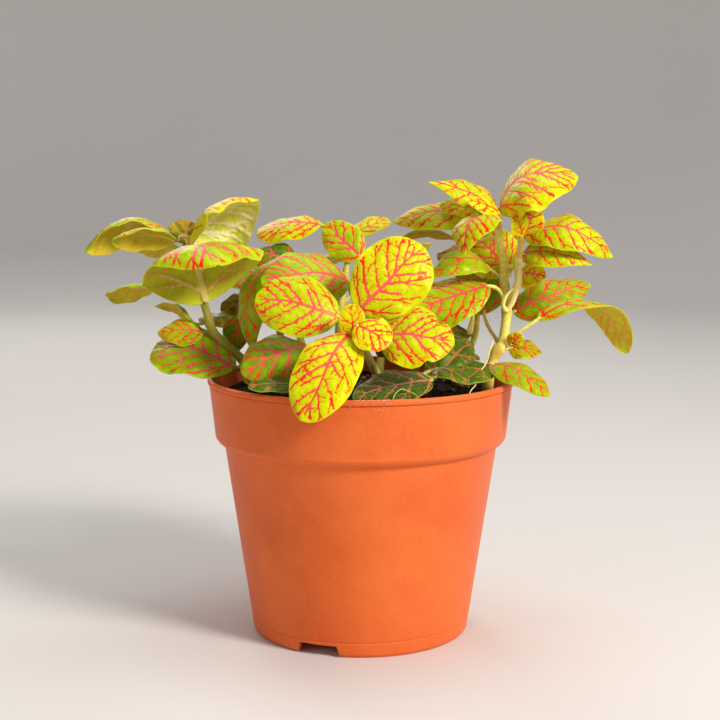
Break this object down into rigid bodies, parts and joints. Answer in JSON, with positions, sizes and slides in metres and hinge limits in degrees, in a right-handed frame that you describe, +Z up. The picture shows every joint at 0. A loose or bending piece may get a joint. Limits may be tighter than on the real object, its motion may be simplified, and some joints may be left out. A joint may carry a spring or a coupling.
{
  "type": "potted nerve plant",
  "caption": "Bushy nerve plant with netted yellow-green leaves on leaning shoots, in a filled round plastic nursery pot with a wide rim band and a notched foot ring.",
  "frame": {"origin": "on the ground under the pot, on the pot's axis, which is also the middle of the whole plant's box", "axes": "+Z up; -Y is the side that the picture shows as the front; +X is to the viewer's right, and the plant is longest along X"},
  "size_m": [0.2172, 0.1305, 0.1848],
  "materials": {
    "pot_plastic": "matte moulded plastic",
    "soil": null,
    "leaf": null,
    "stem": null
  },
  "bodies": {
    "root": {"pot": "pot_plastic", "soil": "soil", "shoot_left": "leaf", "shoot_mid_left": "leaf", "shoot_middle": "leaf", "shoot_front": "leaf", "shoot_centre": "leaf", "shoot_low_left": "leaf", "shoot_low_front": "leaf", "shoot_right": "leaf", "shoot_right_back": "leaf", "shoot_rear_left": "leaf", "shoot_rear": "leaf", "shoot_rear_right": "leaf"}
  },
  "joints": []
}
